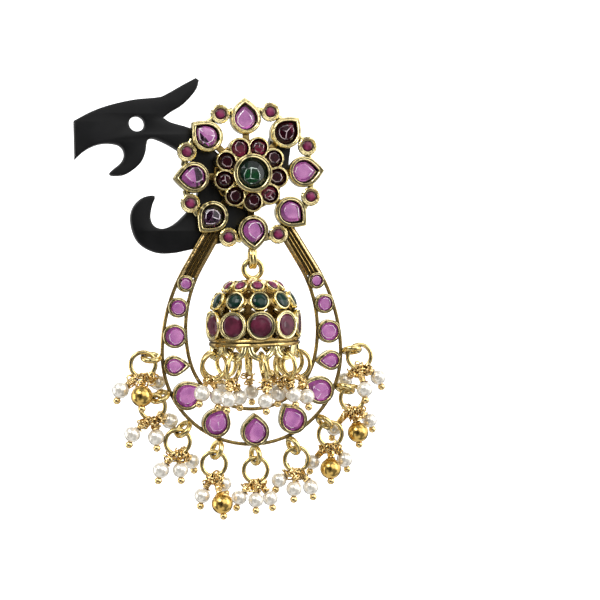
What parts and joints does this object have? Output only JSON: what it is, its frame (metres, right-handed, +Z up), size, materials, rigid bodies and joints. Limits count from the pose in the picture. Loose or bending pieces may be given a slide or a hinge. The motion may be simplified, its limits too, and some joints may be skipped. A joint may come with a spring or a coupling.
{
  "type": "jhumka earring on a display stand arm",
  "caption": "Drop earring with a stone-set flower, an open hoop round a swinging pierced bell and pearl drops, pinned on a flat black display arm.",
  "frame": {"origin": "root of the ear post, on the back of the flower", "axes": "+Z up along the hanging earring, -Y out of the earring's face, +X to the right of someone who looks at the face"},
  "size_m": [0.0578, 0.0226, 0.0822],
  "materials": {
    "antique_gold": "antique gold plating",
    "lilac_glass": "polished",
    "garnet_glass": "polished",
    "green_glass": "polished",
    "pearl": "pearl lustre",
    "black_plastic": "satin"
  },
  "bodies": {
    "root": {"setting": "antique_gold", "ear_clutch": "antique_gold", "display_arm": "black_plastic", "flower_pear_stone_1": "lilac_glass", "flower_pear_stone_2": "lilac_glass", "flower_pear_stone_3": "lilac_glass", "flower_pear_stone_4": "lilac_glass", "flower_pear_stone_5": "lilac_glass", "flower_pear_stone_6": "lilac_glass", "flower_pear_stone_7": "lilac_glass", "flower_pear_stone_8": "lilac_glass", "flower_petal_stone_1": "garnet_glass", "flower_petal_stone_2": "garnet_glass", "flower_petal_stone_3": "garnet_glass", "flower_petal_stone_4": "garnet_glass", "flower_petal_stone_5": "garnet_glass", "flower_petal_stone_6": "garnet_glass", "flower_petal_stone_7": "garnet_glass", "flower_petal_stone_8": "garnet_glass", "flower_petal_stone_9": "garnet_glass", "flower_centre_stone": "green_glass", "hoop_small_stone_left": "lilac_glass", "hoop_medium_stone_left": "lilac_glass", "hoop_large_stone_left": "lilac_glass", "hoop_teardrop_stone_left": "lilac_glass", "hoop_small_stone_right": "lilac_glass", "hoop_medium_stone_right": "lilac_glass", "hoop_large_stone_right": "lilac_glass", "hoop_teardrop_stone_right": "lilac_glass", "hoop_pear_stone_1": "lilac_glass", "hoop_pear_stone_2": "lilac_glass", "hoop_pear_stone_3": "lilac_glass", "hoop_pear_stone_4": "lilac_glass", "hoop_pear_stone_5": "lilac_glass", "rim_cluster_1": "pearl", "rim_cluster_2": "pearl", "rim_cluster_3": "pearl", "rim_cluster_4": "pearl", "rim_cluster_5": "pearl", "rim_cluster_6": "pearl", "rim_cluster_7": "pearl", "rim_cluster_8": "pearl", "rim_cluster_9": "pearl"},
    "bell": {"bell": "antique_gold", "bell_cluster_1": "pearl", "bell_cluster_2": "pearl", "bell_cluster_3": "pearl", "bell_cluster_4": "pearl", "bell_cluster_5": "pearl", "bell_cluster_6": "pearl", "bell_cluster_7": "pearl", "bell_cluster_8": "pearl", "bell_cluster_9": "pearl", "bell_cluster_10": "pearl"}
  },
  "joints": [
    {"name": "bell_swing", "type": "hinge", "parent": "root", "child": "bell", "pos_m": [0.0003, -0.001, -0.01599], "axis": [1, 0, 0], "range_deg": [-4, 4]}
  ]
}
